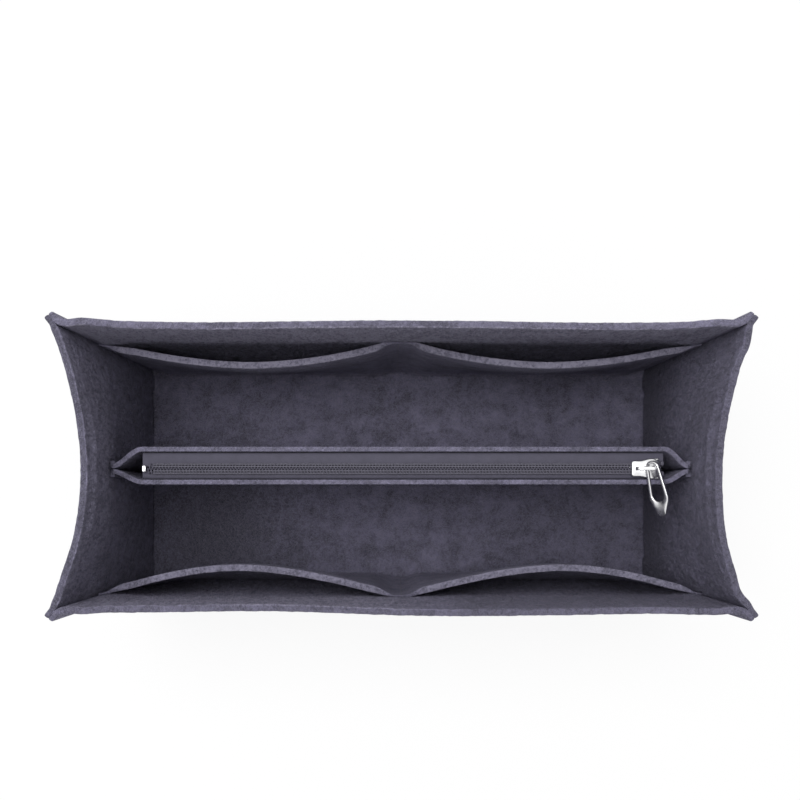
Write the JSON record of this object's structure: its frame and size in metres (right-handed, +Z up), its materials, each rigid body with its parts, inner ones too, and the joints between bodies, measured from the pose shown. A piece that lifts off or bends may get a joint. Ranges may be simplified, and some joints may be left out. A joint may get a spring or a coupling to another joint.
{
  "type": "purse organizer insert",
  "caption": "Open felt box that stands inside a handbag, with bowed pocket strips along its long walls and a hanging zip pocket across the middle.",
  "frame": {"origin": "on the surface the organizer stands on, under the middle of its base", "axes": "+X along the length towards the closed end of the zip, +Y towards the back wall, +Z up"},
  "size_m": [0.2916, 0.1282, 0.15],
  "materials": {
    "felt": "dark grey needled felt, matt",
    "zip_tape": "dark grey woven tape",
    "zip_coil": "dark grey coiled filament, satin",
    "zip_metal": "bright nickel plate"
  },
  "bodies": {
    "organizer": {"base_panel": "felt", "front_wall": "felt", "back_wall": "felt", "left_end_panel": "felt", "right_end_panel": "felt", "front_pocket_strip": "felt", "back_pocket_strip": "felt", "zip_pocket_front_panel": "felt", "zip_pocket_back_panel": "felt", "zip_tape_front": "zip_tape", "zip_tape_back": "zip_tape", "zip_coil_front": "zip_coil", "zip_coil_back": "zip_coil", "bottom_stop": "zip_metal", "top_stop_front": "zip_coil", "top_stop_back": "zip_coil"},
    "slider": {"zip_slider": "zip_metal"},
    "pull": {"pull_tab": "zip_metal"}
  },
  "joints": [
    {"name": "zip_slide", "type": "slide", "parent": "organizer", "child": "slider", "axis": [-1, 0, 0], "range_m": [0, 0.2129], "deforming": ["zip_coil_front", "zip_coil_back"]},
    {"name": "pull_swing", "type": "hinge", "parent": "slider", "child": "pull", "pos_m": [0.1094, 0, 0.12104], "axis": [-1, 0, 0], "range_deg": [0, 190]}
  ]
}
